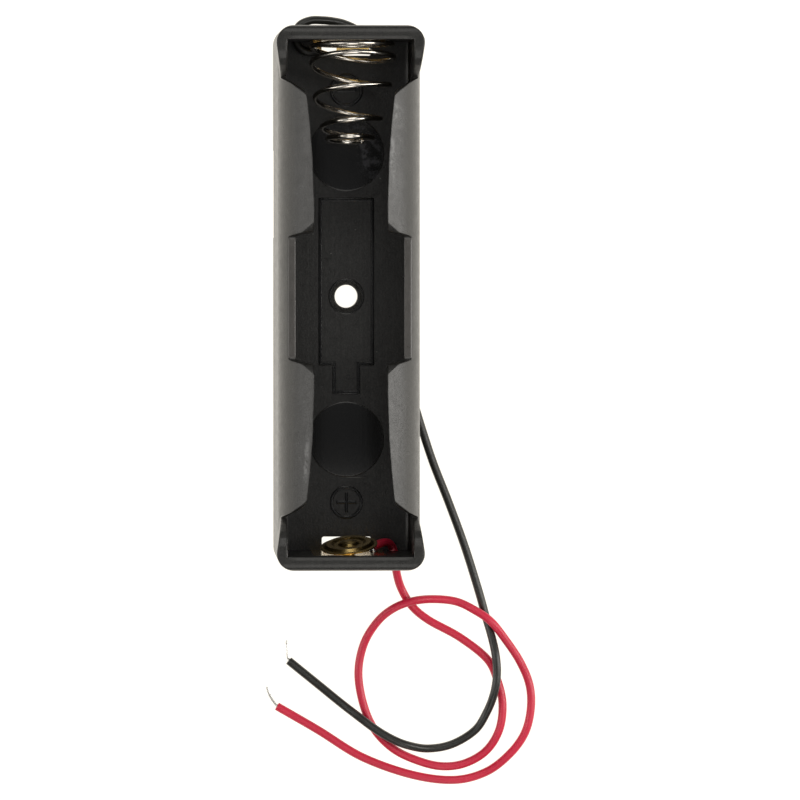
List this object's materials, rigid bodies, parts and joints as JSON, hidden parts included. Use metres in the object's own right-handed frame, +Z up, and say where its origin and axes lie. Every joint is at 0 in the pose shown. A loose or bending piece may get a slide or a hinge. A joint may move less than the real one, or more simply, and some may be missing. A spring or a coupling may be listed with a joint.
{
  "type": "cylindrical cell holder",
  "caption": "Open moulded holder for a round lithium cell, with snap lips, thumb notches, a coil spring contact, a button contact and two free wire leads.",
  "frame": {"origin": "middle of the tray's footprint, on the surface that the tray stands on", "axes": "+Y along the cell, towards the spring contact; +Z up, out of the mouth that the cell goes in by"},
  "size_m": [0.0391, 0.111, 0.0202],
  "materials": {
    "moulding": "fine matt moulded black, smoother on the raised pads",
    "contact_brass": "bright stamped sheet",
    "spring_nickel": "nickel-plated wire",
    "solder": "tinned, bright",
    "red_jacket": "soft satin PVC",
    "black_jacket": "soft satin PVC"
  },
  "bodies": {
    "holder": {"holder_body": "moulding", "negative_plate": "contact_brass", "negative_solder": "solder", "positive_plate": "contact_brass", "positive_button": "contact_brass", "positive_solder": "solder", "red_lead": "red_jacket", "red_lead_end": "solder", "black_lead": "black_jacket", "black_lead_end": "solder"},
    "spring": {"negative_spring": "spring_nickel"}
  },
  "joints": [
    {"name": "spring_press", "type": "slide", "parent": "holder", "child": "spring", "axis": [0, 1, 0], "range_m": [0, 0.009], "stiffness_N_per_m": 800, "deforming": ["negative_spring"]}
  ]
}
